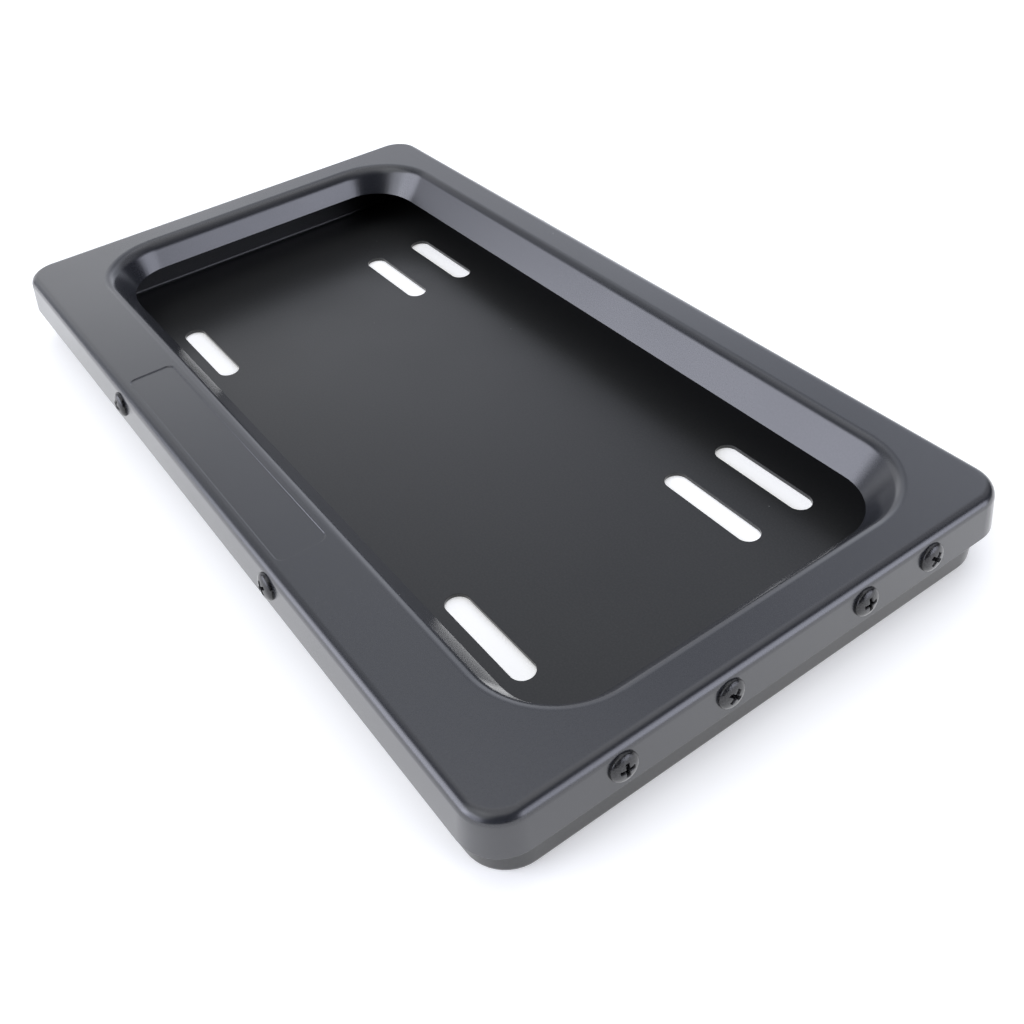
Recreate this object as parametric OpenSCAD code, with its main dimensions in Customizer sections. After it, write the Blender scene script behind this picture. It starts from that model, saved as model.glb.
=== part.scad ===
// Number plate holder: a shallow pressed tray with slots for the plate bolts, closed by a pressed
// front cover whose window folds down into the tray, and held together by screws round the sides.
// The frame: X runs along the length, Y across it towards the narrow border, Z out of the front.
// The origin is under the middle of the holder, on the plane of the tray's back.

/* [Front cover] */
// Length of the cover at its lower edge
cover_l = 370; // [350:1:400]
// Width of the cover at its lower edge
cover_w = 205; // [200:1:220]
// Height of the cover's side walls
cover_h = 15; // [14:0.5:17]
// How far a side wall leans in between its lower edge and the face
cover_draft = 1.8; // [1:0.1:2]
// Radius of the cover's corners at the lower edge
cover_corner_r = 14; // [12:0.5:15]
// Radius of the shoulder between the face and the side walls
shoulder_r = 4; // [3:0.1:4.5]
// Thickness of the sheet that the cover is pressed from
cover_t = 1.5; // [1:0.1:1.8]

/* [Window] */
// Width of the narrow borders, from the cover's lower edge to where the window starts to fold
narrow_border = 14.5; // [13:0.5:18]
// Width of the border that carries the label recess
label_border = 25.5; // [25:0.5:32]
// Radius of the window's corners where they start to fold
window_r = 32; // [24:1:40]
// Radius of the fold round the window
fold_r = 5; // [3:0.5:6]
// Depth of the window's flange below the face
flange_drop = 12.5; // [10:0.5:14]
// Angle through which the flange folds along the two long sides and at the right end
side_fold = 55; // [50:1:75]
// Angle through which the flange folds at the left end
left_fold = 84; // [60:1:85]

/* [Label recess] */
// Length of the recess for a label
label_l = 129; // [80:1:160]
// Width of the recess
label_w = 18; // [12:0.5:18]
// Depth of the recess
label_depth = 0.4; // [0.2:0.1:0.6]
// Radius of the recess's corners
label_r = 3; // [1:0.5:5]
// Flat strip of the face between the recess and the window's fold
label_gap = 1.4; // [1:0.1:2]

/* [Back tray] */
// Gap between the tray's rim and the start of the cover's shoulder above it
rim_clear = 0.2; // [0.2:0.1:1]
// How much narrower the tray is at its back than at its rim, on each side
tray_draft = 0.4; // [0:0.1:1]
// Radius of the tray's corners at the rim
tray_corner_r = 14; // [14:0.5:20]
// Radius of the bend between the tray's floor and its walls
tray_bend_r = 3; // [2.5:0.1:4]
// Thickness of the sheet that the tray is pressed from
tray_t = 1.5; // [1:0.1:2]
// Gap between the tray's rim and the cover's wall
rim_gap = 0.2; // [0.1:0.05:0.4]
// How much of the tray shows below the cover's lower edge
tray_show = 15.3; // [14.5:0.1:15.5]

/* [Plate bolt slots] */
// Length of each slot, end to end
slot_l = 45; // [30:1:60]
// Width of each slot
slot_w = 9; // [6:0.5:12]
// Distance between the two slots of a row, centre to centre
slot_pitch = 216; // [200:1:230]
// Distance from the first row of slots to the last one
slot_rows = 121; // [115:0.5:125]
// Distance from the first row to the middle one
middle_row = 96; // [60:0.5:105]
// Distance from the middle of the tray to the middle of the rows
slot_shift = 10.6; // [5:0.1:12]

/* [Screws] */
// Diameter of the screw heads
head_d = 9.6; // [8:0.1:10.5]
// Height of the straight rim of a head
head_rim = 1.4; // [1:0.1:2]
// Height of a head's dome above its rim
head_dome = 0.9; // [0.5:0.1:1.5]
// Diameter of the shanks
shank_d = 4.8; // [4:0.1:5]
// Length of the shanks, from under the head
shank_l = 7.5; // [6:0.5:9]
// Gap round a shank in the cover's holes
hole_gap = 0.25; // [0.1:0.05:0.5]
// Gap round a shank in the tray's holes
thread_gap = 0.05; // [0.02:0.01:0.1]
// Width of the cross recess in a head
cross_w = 4.6; // [3:0.1:5]
// Width of one arm of the cross
cross_arm = 1.1; // [0.8:0.1:1.4]
// Depth of the cross
cross_depth = 1.6; // [1:0.1:2]
// Places of the screws along each end, from the middle, negative towards the label side
end_screw_y = [-58, -20, 34, 63];
// Places of the screws along each long side, from the middle
side_screw_x = [-63.5, 63.5];

/* [Hidden] */
$fn = 96;
eps = 0.01;
face_z = tray_show + cover_h;
lean = atan(cover_draft / cover_h);
screw_z = tray_show + cover_h / 2;

// Rounds down to a hundredth, so that the pieces of a wall meet at exactly the same coordinates
function hundredth(v) = floor(100 * v) / 100;

// The tray's rim lies inside the cover's wall, just below where the shoulder starts
tray_h = hundredth(face_z - shoulder_r * (1 - sin(lean)) - rim_clear);
tray_lean = atan(tray_draft / tray_h);
wall_in_at_rim = (tray_h - tray_show) * tan(lean) + cover_t / cos(lean);
tray_l = 2 * hundredth(cover_l / 2 - wall_in_at_rim - rim_gap);
tray_w = 2 * hundredth(cover_w / 2 - wall_in_at_rim - rim_gap);

// The window's outline, where the sheet starts to fold
window_x = cover_l / 2 - narrow_border;
window_hi = cover_w / 2 - narrow_border;
window_lo = label_border - cover_w / 2;
corner_steps = 18;
fold_steps = 8;

label_y = window_lo - label_gap - label_w / 2;

end_screws = [for (i = [0:len(end_screw_y) - 1]) str(i + 1)];
side_screws = [for (i = [0:len(side_screw_x) - 1]) str(i + 1)];

// Section of a pressed box from its corner centre outwards: an upright wall that leans in by
// the angle a, and a rounded edge of radius r up to a flat top at height h
module box_section(reach, h, r, a) {
    tangent_z = h - r + r * sin(a);
    centre_x = reach - tangent_z * tan(a) - r * cos(a);
    polygon([
        [0, 0],
        [reach, 0],
        [centre_x + r * cos(a), tangent_z],
        [centre_x, h - r],
        [centre_x, h],
        [0, h]
    ]);
    translate([centre_x, h - r])
        circle(r = r);
}

// Solid box with rounded corners, leaning walls and a rounded edge round its top
module pressed_block(l, w, h, corner, r, a) {
    core_x = l / 2 - corner;
    core_y = w / 2 - corner;
    translate([-core_x, -core_y, 0])
        cube([2 * core_x, 2 * core_y, h]);
    for (x = [0, 1], y = [0, 1])
        mirror([x, 0, 0])
            mirror([0, y, 0])
            translate([core_x, core_y, 0])
            rotate_extrude(angle = 90)
            box_section(corner, h, r, a);
    for (turn = [0, 180])
        rotate([0, 0, turn]) {
            translate([core_x, core_y, 0])
                rotate([90, 0, 0])
                linear_extrude(height = 2 * core_y)
                box_section(corner, h, r, a);
            translate([-core_x, core_y, 0])
                rotate([90, 0, 90])
                linear_extrude(height = 2 * core_x)
                box_section(corner, h, r, a);
        }
}

// Open box of one thickness t, pressed from a flat sheet, with its mouth at height 0
module pressed_shell(l, w, h, corner, r, a, t) {
    wall = t / cos(a);
    difference() {
        pressed_block(l, w, h, corner, r, a);
        translate([0, 0, -eps])
            pressed_block(l - 2 * wall, w - 2 * wall, h - t + eps, corner - wall, r - t, a);
    }
}

// Corner centre of the window for the quarter that direction q lies in
function window_centre(q) = [
    (cos(q) > 0 ? 1 : -1) * (window_x - window_r),
    sin(q) > 0 ? window_hi - window_r : window_lo + window_r
];

// Directions of the outline's points: each corner has its own steps, turned a hair off the axes
function window_directions() = [
    for (c = [0:3])
        for (j = [0:corner_steps])
            90 * c + (j == 0 ? eps : j == corner_steps ? 90 - eps : 90 * j / corner_steps)
];

function window_point(q, inset) = window_centre(q) + (window_r - inset) * [cos(q), sin(q)];

// The fold is steeper at the left end than elsewhere, and blends round the two corners there
function fold_at(q) = side_fold + (left_fold - side_fold) * pow(max(0, -cos(q)), 2);

// One surface of the folded sheet in direction q, as [inset, drop] pairs: upright from the drop
// start to the drop bend, then a fold of radius r, then straight on down to the drop end
function folded_line(q, r, start, bend, end) = let (f = fold_at(q)) concat(
    [[0, start]],
    [for (k = [0:fold_steps]) let (b = f * k / fold_steps) [r * sin(b), bend + r * (1 - cos(b))]],
    [[r * sin(f) + (end - bend - r * (1 - cos(f))) / tan(f), end]]
);

// Solid that fills the window inside such a surface, carried round the outline
module window_solid(r, start, bend, end) {
    directions = window_directions();
    rings = len(directions);
    levels = fold_steps + 3;
    points = [
        for (q = directions)
            for (s = folded_line(q, r, start, bend, end))
                let (p = window_point(q, s[0])) [p[0], p[1], face_z - s[1]]
    ];
    sides = [
        for (i = [0:rings - 1], k = [0:levels - 2])
            let (here = i * levels + k, next = (i + 1) % rings * levels + k)
                each [[here, next, next + 1], [here, next + 1, here + 1]]
    ];
    top = [for (i = [rings - 1:-1:0]) i * levels];
    bottom = [for (i = [0:rings - 1]) i * levels + levels - 1];
    polyhedron(points = points, faces = concat(sides, [top, bottom]), convexity = 4);
}

module rounded_plate(l, w, h, r) {
    linear_extrude(height = h)
        union() {
            square([l - 2 * r, w], center = true);
            square([l, w - 2 * r], center = true);
            for (x = [-1, 1], y = [-1, 1])
                translate([x * (l / 2 - r), y * (w / 2 - r)])
                    circle(r = r);
        }
}

// Puts its children on the cover's wall at a screw's place, with their Z out of the wall.
// The turn is 0 for the right end, 90 for the top side, 180 for the left end, 270 for the bottom.
module at_wall(turn, along) {
    reach = (turn % 180 == 0 ? cover_l : cover_w) / 2 - cover_h / 2 * tan(lean);
    rotate([0, 0, turn])
        translate([reach, along, screw_z])
        rotate([0, 90 - lean, 0])
        children();
}

// Every screw's place: the ends mirror each other, and so do the two long sides
module at_screws() {
    for (y = end_screw_y) {
        at_wall(0, y) children();
        at_wall(180, -y) children();
    }
    for (x = side_screw_x) {
        at_wall(90, -x) children();
        at_wall(270, x) children();
    }
}

module screw_hole(gap) {
    translate([0, 0, -shank_l - 1])
        cylinder(d = shank_d + 2 * gap, h = shank_l + 2);
}

module front_cover() {
    color([0.12, 0.12, 0.13])
        difference() {
            union() {
                translate([0, 0, tray_show])
                    pressed_shell(cover_l, cover_w, cover_h, cover_corner_r, shoulder_r, lean, cover_t);
                window_solid(fold_r - cover_t, cover_t / 2, cover_t, flange_drop);
                translate([0, label_y, face_z - cover_t - label_depth])
                    rounded_plate(label_l, label_w, cover_t, label_r);
            }
            window_solid(fold_r, -1, 0, flange_drop + 1);
            translate([0, label_y, face_z - label_depth])
                rounded_plate(label_l, label_w, label_depth + 1, label_r);
            at_screws() screw_hole(hole_gap);
        }
}

module plate_slot() {
    travel = slot_l - slot_w;
    translate([0, 0, -1])
        linear_extrude(height = tray_t + 2)
        union() {
            square([travel, slot_w], center = true);
            for (side = [-1, 1])
                translate([side * travel / 2, 0])
                    circle(d = slot_w);
        }
}

module back_tray() {
    rows = [0, middle_row, slot_rows];
    color([0.1, 0.1, 0.11])
        difference() {
            translate([0, 0, tray_h])
                mirror([0, 0, 1])
                pressed_shell(tray_l, tray_w, tray_h, tray_corner_r, tray_bend_r, tray_lean, tray_t);
            for (side = [-1, 1], row = rows)
                translate([side * slot_pitch / 2, slot_shift - slot_rows / 2 + row, 0])
                    plate_slot();
            at_screws() screw_hole(thread_gap);
        }
}

// Pan-head screw with a cross recess: its head's underside lies on the plane Z = 0
module screw() {
    dome_r = (pow(head_d / 2, 2) + pow(head_dome, 2)) / (2 * head_dome);
    color([0.07, 0.07, 0.075])
        difference() {
            union() {
                cylinder(d = head_d, h = head_rim);
                intersection() {
                    translate([0, 0, head_rim])
                        cylinder(d = head_d, h = head_dome + 1);
                    translate([0, 0, head_rim + head_dome - dome_r])
                        sphere(r = dome_r);
                }
                translate([0, 0, -shank_l])
                    cylinder(d = shank_d, h = shank_l);
            }
            for (turn = [0, 90])
                rotate([0, 0, turn])
                    translate([-cross_w / 2, -cross_arm / 2, head_rim + head_dome - cross_depth])
                    cube([cross_w, cross_arm, cross_depth + 1]);
        }
}

front_cover();
back_tray();
for (i = [0:len(end_screw_y) - 1]) {
    at_wall(180, -end_screw_y[i]) screw();
    at_wall(0, end_screw_y[i]) screw();
}
for (i = [0:len(side_screw_x) - 1]) {
    at_wall(90, -side_screw_x[i]) screw();
    at_wall(270, side_screw_x[i]) screw();
}
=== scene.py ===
"""Looks of the number plate holder: black powder-coated sheet on a white table, in soft light."""

import math

import bmesh
import bpy
from mathutils import Matrix, Vector


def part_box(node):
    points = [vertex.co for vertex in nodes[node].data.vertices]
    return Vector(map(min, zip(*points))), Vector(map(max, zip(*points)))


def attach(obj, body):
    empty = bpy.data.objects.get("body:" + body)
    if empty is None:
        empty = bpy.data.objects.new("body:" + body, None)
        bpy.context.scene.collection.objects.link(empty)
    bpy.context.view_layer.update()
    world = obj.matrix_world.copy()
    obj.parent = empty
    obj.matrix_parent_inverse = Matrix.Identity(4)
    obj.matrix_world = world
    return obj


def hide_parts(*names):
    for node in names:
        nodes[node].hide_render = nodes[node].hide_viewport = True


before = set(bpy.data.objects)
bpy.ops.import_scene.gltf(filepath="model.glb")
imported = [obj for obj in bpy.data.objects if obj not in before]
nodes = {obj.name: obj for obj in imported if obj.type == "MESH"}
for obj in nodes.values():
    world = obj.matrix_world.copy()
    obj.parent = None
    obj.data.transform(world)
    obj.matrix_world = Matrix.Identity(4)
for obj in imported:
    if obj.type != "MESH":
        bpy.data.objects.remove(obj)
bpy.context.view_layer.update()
scene = bpy.context.scene
MM = 0.001


# Node helpers

def new_material(name):
    mat = bpy.data.materials.new(name)
    mat.use_nodes = True
    tree = mat.node_tree
    tree.nodes.clear()
    out = tree.nodes.new("ShaderNodeOutputMaterial")
    return mat, tree, out


def add(tree, kind, **values):
    node = tree.nodes.new(kind)
    for key, value in values.items():
        setattr(node, key, value)
    return node


def maths(tree, operation, first, second, clamp=False):
    """A sum, product or comparison of two values, each an output or a plain number."""
    node = add(tree, "ShaderNodeMath", operation=operation, use_clamp=clamp)
    for socket, value in zip(node.inputs, (first, second)):
        if isinstance(value, (int, float)):
            socket.default_value = value
        else:
            tree.links.new(value, socket)
    return node.outputs[0]


def noise(tree, coords, scale, detail):
    node = add(tree, "ShaderNodeTexNoise")
    node.inputs["Scale"].default_value = scale
    node.inputs["Detail"].default_value = detail
    tree.links.new(coords.outputs["Object"], node.inputs["Vector"])
    return node.outputs["Fac"]


def remap(tree, value, low, high, to_low, to_high):
    """A value between low and high, spread evenly between to_low and to_high."""
    node = add(tree, "ShaderNodeMapRange")
    numbers = {"From Min": low, "From Max": high, "To Min": to_low, "To Max": to_high}
    for socket, number in numbers.items():
        node.inputs[socket].default_value = number
    tree.links.new(value, node.inputs["Value"])
    return node.outputs["Result"]


def mix_colours(tree, factor, first, second):
    """Two colours mixed, of which the first may be an output."""
    node = add(tree, "ShaderNodeMix", data_type="RGBA")
    tree.links.new(factor, node.inputs[0])
    if isinstance(first, tuple):
        node.inputs[6].default_value = (*first, 1)
    else:
        tree.links.new(first, node.inputs[6])
    node.inputs[7].default_value = (*second, 1)
    return node.outputs[2]


# The coats

SMUDGE_SCALE = 22
SMUDGE_SHINIER = 0.02
SMUDGE_DULLER = 0.03
FINE_SCALE = 1400
DUST_SCALE = 90
DUST_SIZE = 0.02
DUST_RARITY = 0.86
DUST_COLOUR = (0.16, 0.16, 0.16)
PEEL_HEIGHT = 0.2 * MM


def coat(name, dark, pale, rough, ior, peel_scale, peel):
    """Powder coat: a dark satin film with orange peel, dulling smudges and a trace of dust."""
    mat, tree, out = new_material(name)
    coords = add(tree, "ShaderNodeTexCoord")

    smudge = noise(tree, coords, SMUDGE_SCALE, 2)
    roughness = remap(tree, smudge, 0.3, 0.7, rough - SMUDGE_SHINIER, rough + SMUDGE_DULLER)

    fine = noise(tree, coords, FINE_SCALE, 1)
    colour = mix_colours(tree, remap(tree, fine, 0.35, 0.75, 0, 1), dark, pale)

    # Specks of dust sit at the middles of a few of the cells
    cells = add(tree, "ShaderNodeTexVoronoi")
    cells.inputs["Scale"].default_value = DUST_SCALE
    tree.links.new(coords.outputs["Object"], cells.inputs["Vector"])
    chance = add(tree, "ShaderNodeSeparateColor")
    tree.links.new(cells.outputs["Color"], chance.inputs[0])
    near = maths(tree, "LESS_THAN", cells.outputs["Distance"], DUST_SIZE)
    few = maths(tree, "GREATER_THAN", chance.outputs[0], DUST_RARITY)
    speck = maths(tree, "MULTIPLY", near, few)
    colour = mix_colours(tree, speck, colour, DUST_COLOUR)

    bump = add(tree, "ShaderNodeBump")
    bump.inputs["Strength"].default_value = peel
    bump.inputs["Distance"].default_value = PEEL_HEIGHT
    tree.links.new(noise(tree, coords, peel_scale, 1), bump.inputs["Height"])

    shader = add(tree, "ShaderNodeBsdfPrincipled")
    shader.inputs["IOR"].default_value = ior
    tree.links.new(roughness, shader.inputs["Roughness"])
    tree.links.new(colour, shader.inputs["Base Color"])
    tree.links.new(bump.outputs["Normal"], shader.inputs["Normal"])
    tree.links.new(shader.outputs["BSDF"], out.inputs["Surface"])
    return mat


cover_coat = coat("cover_coat", (0.018, 0.019, 0.023), (0.022, 0.023, 0.027),
                  rough=0.24, ior=1.6, peel_scale=400, peel=0.009)
tray_coat = coat("tray_coat", (0.015, 0.0155, 0.016), (0.022, 0.022, 0.022),
                 rough=0.32, ior=1.42, peel_scale=600, peel=0.03)
screw_coat = coat("screw_coat", (0.006, 0.006, 0.007), (0.030, 0.030, 0.031),
                  rough=0.22, ior=1.45, peel_scale=2600, peel=0.30)

# The cover and the tray, with their bends shaded smoothly and their edges a little rounded

# Places and sizes of the cover, from its source
WINDOW_LEFT = -138.5 * MM
WINDOW_TOP = 56 * MM
WINDOW_BOTTOM = -45 * MM
WINDOW_R = 32 * MM
FACE_Z = 30.3 * MM
FLANGE = 12.5 * MM
LABEL_DEPTH = 0.4 * MM

# The left flange's lower edge moves in and up, and nothing above EASE_FROM moves
EASE_FROM = 2 * MM
EASE_IN = 2.6 * MM
EASE_UP = 1.3 * MM
FOLD_MARGIN = 0.05 * MM

# The label recess's floor ends this far inside its rim
LABEL_SLOPE_X = 0.2 * MM
LABEL_SLOPE_Y = 0.36 * MM

WELD = 0.001 * MM
FLAT_ANGLE = math.radians(0.3)
EDGE_ANGLE = math.radians(38)
COVER_EDGE = 0.12 * MM
TRAY_EDGE = 0.15 * MM


def ease_left_flange(mesh):
    """Lets the window's left flange lean out a little further than the solid's."""
    for v in mesh.verts:
        x, y, z = v.co
        depth = FACE_Z - z
        dx = x - WINDOW_LEFT
        dy = max(0, y - WINDOW_TOP) + min(0, y - WINDOW_BOTTOM)
        r = math.hypot(dx, dy)
        if dx >= 0 or r >= WINDOW_R - FOLD_MARGIN or depth < EASE_FROM:
            continue
        t = min(1, (depth - EASE_FROM) / (FLANGE - EASE_FROM)) * (dx / r) ** 2
        v.co.x -= EASE_IN * t * dx / r
        v.co.y -= EASE_IN * t * dy / r
        v.co.z += EASE_UP * t


def slope_label_recess(mesh):
    """Slopes the walls of the label recess a little, so that its edge catches the light."""
    floor = [v for v in mesh.verts
             if abs(v.co.z - FACE_Z + LABEL_DEPTH) < 0.01 * MM
             and v.co.y < WINDOW_BOTTOM - WINDOW_R]
    middle = (min(v.co.y for v in floor) + max(v.co.y for v in floor)) / 2
    for v in floor:
        v.co.x -= math.copysign(LABEL_SLOPE_X, v.co.x)
        v.co.y -= math.copysign(LABEL_SLOPE_Y, v.co.y - middle)


def show(name, data, mat):
    """Shows a mesh in the place of a CAD node."""
    piece = bpy.data.objects.new("shown_" + name, data)
    scene.collection.objects.link(piece)
    data.materials.clear()
    data.materials.append(mat)
    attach(piece, "root")
    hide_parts(name)
    return piece


def dressed(name, mat, edge, *changes):
    """Shows a copy of a CAD node with joined faces, softened edges and smooth bends."""
    data = nodes[name].data.copy()
    mesh = bmesh.new()
    mesh.from_mesh(data)
    bmesh.ops.remove_doubles(mesh, verts=mesh.verts, dist=WELD)
    bmesh.ops.dissolve_limit(mesh, angle_limit=FLAT_ANGLE, verts=mesh.verts, edges=mesh.edges)
    for change in changes:
        change(mesh)
    mesh.to_mesh(data)
    mesh.free()
    data.shade_smooth()
    piece = show(name, data, mat)
    bevel = piece.modifiers.new("edges", "BEVEL")
    bevel.width = edge
    bevel.segments = 2
    bevel.limit_method = "ANGLE"
    bevel.angle_limit = EDGE_ANGLE
    bevel.use_clamp_overlap = False
    normals = piece.modifiers.new("normals", "WEIGHTED_NORMAL")
    normals.keep_sharp = False


dressed("front_cover", cover_coat, COVER_EDGE, ease_left_flange, slope_label_recess)
dressed("back_tray", tray_coat, TRAY_EDGE)

# The screws: domed heads with a tapered cross recess, on threaded shanks

HEAD_R = 4.8 * MM
HEAD_RIM = 0.45 * MM
HEAD_DOME = 1.8 * MM
SHANK_R = 2.4 * MM
SHANK_L = 7.4 * MM
PITCH = 0.8 * MM
THREAD = 0.3 * MM
CROSS_ARM = 0.7 * MM
CROSS_REACH = 2.5 * MM
CROSS_DEPTH = 1.6 * MM
CROSS_TAPER = 0.5 * MM
SHARP_ANGLE = math.radians(50)

# The crown is the inner share of the head, with evenly spaced rings of points
CROWN = 0.8
CROWN_RINGS = 30
DOME_RINGS = 12
SHANK_RINGS = 56
AROUND = 72

# The cover's wall leans, and the heads stand on it; each screw is turned further than the last
LEAN = math.atan(1.8 / 15)
WALL_X = 184.1 * MM
WALL_Y = 101.6 * MM
WALL_Z = 22.8 * MM
FIRST_TURN = 0.5
NEXT_TURN = 2.4


def cross_recess(u, v):
    """Depth of the cross recess at a point of the head."""
    across = max(abs(u) - CROSS_ARM, abs(v) - CROSS_REACH)
    along = max(abs(v) - CROSS_ARM, abs(u) - CROSS_REACH)
    t = min(1, max(0, -min(across, along) / CROSS_TAPER))
    return CROSS_DEPTH * t * t * (3 - 2 * t)


def crown_ring(r, turned):
    """A ring on the dome, with the cross recess cut into it."""
    height = HEAD_RIM + HEAD_DOME * math.sqrt(1 - (r / HEAD_R) ** 2)

    def place(angle):
        a = angle - turned
        return r, height - cross_recess(r * math.cos(a), r * math.sin(a))
    return place


def level_ring(r, height):
    return lambda angle: (r, height)


def thread_ring(height):
    def place(angle):
        wave = abs(((height / PITCH + angle / (2 * math.pi)) % 1) * 2 - 1)
        return SHANK_R - THREAD * wave, height
    return place


def screw_rings(turned):
    """Rings from the middle of the head to the shank's tip, each giving radius and height."""
    rings = [crown_ring(CROWN * HEAD_R * i / CROWN_RINGS, turned)
             for i in range(1, CROWN_RINGS + 1)]
    start = math.asin(CROWN)
    for i in range(1, DOME_RINGS + 1):
        a = start + (math.pi / 2 - start) * i / DOME_RINGS
        rings.append(level_ring(HEAD_R * math.sin(a), HEAD_RIM + HEAD_DOME * math.cos(a)))
    rings += [level_ring(HEAD_R, 0.02 * MM), level_ring(HEAD_R - 0.1 * MM, 0),
              level_ring(SHANK_R, 0)]
    rings += [thread_ring(-SHANK_L * i / SHANK_RINGS) for i in range(1, SHANK_RINGS + 1)]
    return rings


def screw(name, foot, axis, turned):
    """A screw whose head stands on foot, with its cross turned by an angle."""
    w = axis.normalized()
    u = w.orthogonal().normalized()
    v = w.cross(u)
    mesh = bmesh.new()
    middle = mesh.verts.new(foot + (HEAD_RIM + HEAD_DOME - CROSS_DEPTH) * w)
    last = None
    for place in screw_rings(turned):
        ring = []
        for k in range(AROUND):
            angle = 2 * math.pi * k / AROUND
            r, height = place(angle)
            side = r * math.cos(angle) * u + r * math.sin(angle) * v
            ring.append(mesh.verts.new(foot + side + height * w))
        for k in range(AROUND):
            n = (k + 1) % AROUND
            corners = (last[k], ring[k], ring[n], last[n]) if last else (middle, ring[k], ring[n])
            mesh.faces.new(corners)
        last = ring
    mesh.faces.new(list(reversed(last)))
    bmesh.ops.recalc_face_normals(mesh, faces=mesh.faces)
    data = bpy.data.meshes.new(name)
    mesh.to_mesh(data)
    mesh.free()
    data.shade_smooth()
    data.set_sharp_from_angle(angle=SHARP_ANGLE)
    show(name, data, screw_coat)


for number, name in enumerate(sorted(n for n in nodes if "screw" in n)):
    low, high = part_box(name)
    middle = (low + high) / 2
    if name.startswith(("left", "right")):
        outward = Vector((math.copysign(1, middle.x), 0, 0))
        foot = Vector((outward.x * WALL_X, middle.y, WALL_Z))
    else:
        outward = Vector((0, math.copysign(1, middle.y), 0))
        foot = Vector((middle.x, outward.y * WALL_Y, WALL_Z))
    axis = math.cos(LEAN) * outward + math.sin(LEAN) * Vector((0, 0, 1))
    screw(name, foot, axis, FIRST_TURN + NEXT_TURN * number)

# The white table, which glows a little for the camera and in the coats' reflections

TABLE_SIZE = 6
TABLE_BELOW = 0.2 * MM
TABLE_COLOUR = (0.85, 0.85, 0.85, 1)
GLOW_SEEN = 0.34
GLOW_MIRRORED = 0.8

bpy.ops.mesh.primitive_plane_add(size=TABLE_SIZE, location=(0, 0, -TABLE_BELOW))
table = bpy.context.object
table.name = "table"
mat, tree, out = new_material("table_white")
rays = add(tree, "ShaderNodeLightPath").outputs
mirrored = maths(tree, "ADD", rays["Is Glossy Ray"], rays["Is Transmission Ray"], clamp=True)
glow = add(tree, "ShaderNodeEmission")
tree.links.new(maths(tree, "ADD", maths(tree, "MULTIPLY", mirrored, GLOW_MIRRORED),
                     maths(tree, "MULTIPLY", rays["Is Camera Ray"], GLOW_SEEN)),
               glow.inputs["Strength"])
white = add(tree, "ShaderNodeBsdfDiffuse")
white.inputs["Color"].default_value = TABLE_COLOUR
both = add(tree, "ShaderNodeAddShader")
tree.links.new(white.outputs[0], both.inputs[0])
tree.links.new(glow.outputs[0], both.inputs[1])
tree.links.new(both.outputs[0], out.inputs["Surface"])
table.data.materials.append(mat)

# Light: soft boxes as bright regions of the sky, and a plain white behind for the camera

# Azimuth, elevation and half-width in degrees, and colour with strength
SOFT_BOXES = (
    (30, 14, 28, (4.10, 4.22, 4.95)),
    (120, 14, 28, (1.10, 1.16, 1.30)),
    (150, 14, 28, (1.00, 1.02, 1.10)),
    (180, 14, 28, (1.10, 1.11, 1.15)),
    (210, 14, 28, (0.48, 0.50, 0.55)),
    (240, 14, 28, (4.50, 4.60, 5.30)),
    (270, 14, 28, (2.70, 2.78, 3.30)),
    (90, 46, 32, (0.66, 0.67, 0.72)),
    (135, 46, 32, (0.60, 0.63, 0.72)),
    (180, 46, 32, (0.55, 0.57, 0.60)),
    (270, 46, 32, (1.38, 1.42, 1.44)),
    (0, 90, 40, (1.26, 1.27, 1.30)),
)
# Share of its half-width over which a soft box is fully bright
BRIGHT_MIDDLE = 0.35

world = bpy.data.worlds.new("studio")
scene.world = world
world.use_nodes = True
tree = world.node_tree
tree.nodes.clear()
sky = add(tree, "ShaderNodeTexCoord").outputs["Generated"]


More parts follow.
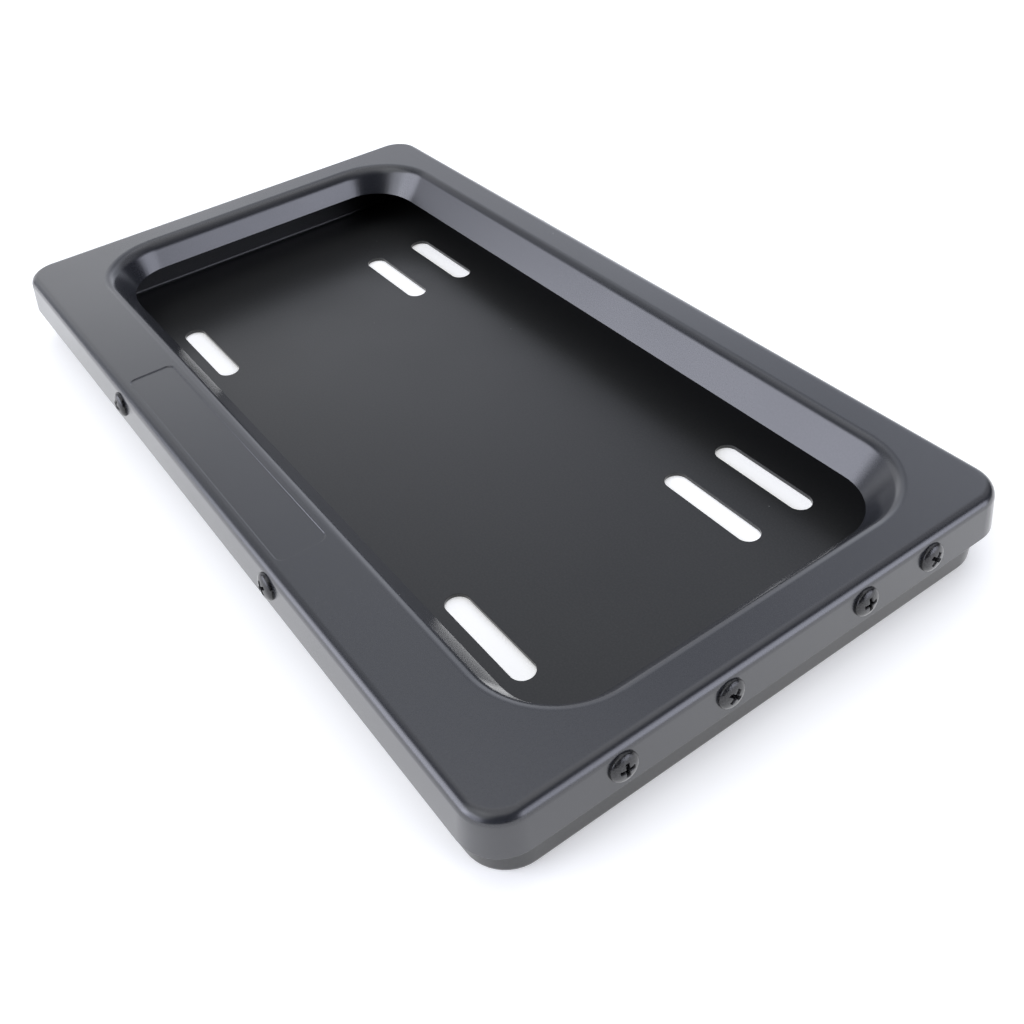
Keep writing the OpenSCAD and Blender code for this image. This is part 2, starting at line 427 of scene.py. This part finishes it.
def soft_box(azimuth, elevation, spread, colour):
    """A round patch of the sky, bright at its middle and fading to nothing spread degrees away."""
    a, e = math.radians(azimuth), math.radians(elevation)
    along = add(tree, "ShaderNodeVectorMath", operation="DOT_PRODUCT")
    along.inputs[1].default_value = (math.cos(e) * math.cos(a), math.cos(e) * math.sin(a),
                                     math.sin(e))
    tree.links.new(sky, along.inputs[0])
    edge = add(tree, "ShaderNodeMapRange", interpolation_type="SMOOTHSTEP")
    edge.inputs["From Min"].default_value = math.cos(math.radians(spread))
    edge.inputs["From Max"].default_value = math.cos(math.radians(spread * BRIGHT_MIDDLE))
    tree.links.new(along.outputs["Value"], edge.inputs["Value"])
    scaled = add(tree, "ShaderNodeVectorMath", operation="SCALE")
    scaled.inputs[0].default_value = colour
    tree.links.new(edge.outputs["Result"], scaled.inputs["Scale"])
    return scaled.outputs["Vector"]


light = soft_box(*SOFT_BOXES[0])
for box in SOFT_BOXES[1:]:
    total = add(tree, "ShaderNodeVectorMath", operation="ADD")
    tree.links.new(light, total.inputs[0])
    tree.links.new(soft_box(*box), total.inputs[1])
    light = total.outputs["Vector"]
room = add(tree, "ShaderNodeBackground")
tree.links.new(light, room.inputs["Color"])
backdrop = add(tree, "ShaderNodeBackground")
backdrop.inputs["Color"].default_value = (1, 1, 1, 1)
rays = add(tree, "ShaderNodeLightPath").outputs
pick = add(tree, "ShaderNodeMixShader")
tree.links.new(rays["Is Camera Ray"], pick.inputs[0])
tree.links.new(room.outputs[0], pick.inputs[1])
tree.links.new(backdrop.outputs[0], pick.inputs[2])
out = add(tree, "ShaderNodeOutputWorld")
tree.links.new(pick.outputs[0], out.inputs["Surface"])

# Camera: the one that took the photo, in the part's frame

SENSOR_WIDTH = 36
PHOTO_WIDTH = 1024
FOCAL_LENGTH = 1102.56
CAMERA_AT = (0.31474, -0.16613, 0.26391)
CAMERA_RIGHT = Vector((0.5819, 0.8101, -0.0717))
CAMERA_DOWN = Vector((0.5103, -0.4324, -0.7434))
CAMERA_AHEAD = Vector((-0.6332, 0.3960, -0.6650))

camera_data = bpy.data.cameras.new("camera")
camera = bpy.data.objects.new("camera", camera_data)
scene.collection.objects.link(camera)
camera_data.sensor_width = SENSOR_WIDTH
camera_data.lens = FOCAL_LENGTH / PHOTO_WIDTH * SENSOR_WIDTH
camera_data.clip_start = 0.01
turn = Matrix((CAMERA_RIGHT, -CAMERA_DOWN, -CAMERA_AHEAD)).transposed().to_4x4()
camera.matrix_world = Matrix.Translation(CAMERA_AT) @ turn
scene.camera = camera

scene.view_settings.view_transform = "Standard"
